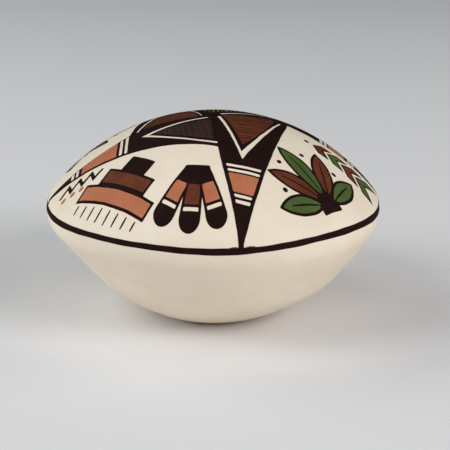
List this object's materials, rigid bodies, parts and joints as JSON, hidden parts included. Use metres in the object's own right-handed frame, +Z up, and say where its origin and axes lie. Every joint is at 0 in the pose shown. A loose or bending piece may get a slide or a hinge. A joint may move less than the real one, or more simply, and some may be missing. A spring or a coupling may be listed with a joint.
{
  "type": "pueblo pottery seed pot",
  "caption": "Lens-shaped hand-coiled earthenware seed pot with a small round mouth, white slip, a dark shoulder stripe and a painted pinwheel star with motifs in the panels.",
  "frame": {"origin": "centre of the flat foot, on the surface the pot stands on", "axes": "+Z up along the pot's axis to the seed hole; -Y is the side the picture shows, +X to its right"},
  "size_m": [0.1137, 0.1136, 0.0685],
  "materials": {
    "clay": "bare fired earthenware, matte",
    "white_slip": "stone-polished white slip, satin",
    "black_paint": "mineral black, satin-matte",
    "brown_paint": "red-brown clay paint, matte",
    "terracotta_paint": "terracotta clay paint, matte",
    "green_paint": "muted green paint, matte"
  },
  "bodies": {
    "root": {"base_disc": "clay", "bowl_course_1": "clay", "bowl_course_2": "clay", "bowl_course_3": "clay", "bowl_course_4": "clay", "shoulder_course": "clay", "dome_course_1": "clay", "dome_course_2": "clay", "dome_course_3": "clay", "dome_course_4": "clay", "mouth_ring": "clay", "turn_slip": "white_slip", "flank_slip": "white_slip", "shoulder_slip": "white_slip", "dome_slip": "white_slip", "shoulder_stripe": "black_paint", "star_ground": "black_paint", "spike_front": "black_paint", "spike_right": "black_paint", "spike_back": "black_paint", "spike_left": "black_paint", "tip_front": "black_paint", "tip_right": "black_paint", "tip_back": "black_paint", "tip_left": "black_paint", "block_front": "terracotta_paint", "block_right": "terracotta_paint", "block_back": "terracotta_paint", "block_left": "terracotta_paint", "blade_front": "brown_paint", "blade_right": "green_paint", "blade_back": "brown_paint", "blade_left": "brown_paint", "fan_line_front": "black_paint", "leaf_1_front": "green_paint", "leaf_2_front": "brown_paint", "leaf_3_front": "green_paint", "leaf_4_front": "brown_paint", "leaf_5_front": "green_paint", "fan_line_back": "black_paint", "leaf_1_back": "green_paint", "leaf_2_back": "brown_paint", "leaf_3_back": "green_paint", "leaf_4_back": "brown_paint", "leaf_5_back": "green_paint", "cloud_line_front": "black_paint", "cloud_low_front": "terracotta_paint", "cloud_high_front": "brown_paint", "cloud_line_back": "black_paint", "cloud_low_back": "terracotta_paint", "cloud_high_back": "brown_paint", "feather_line_front": "black_paint", "feather_left_front": "terracotta_paint", "feather_mid_front": "brown_paint", "feather_right_front": "terracotta_paint", "feather_line_back": "black_paint", "feather_left_back": "terracotta_paint", "feather_mid_back": "brown_paint", "feather_right_back": "terracotta_paint"}
  },
  "joints": []
}
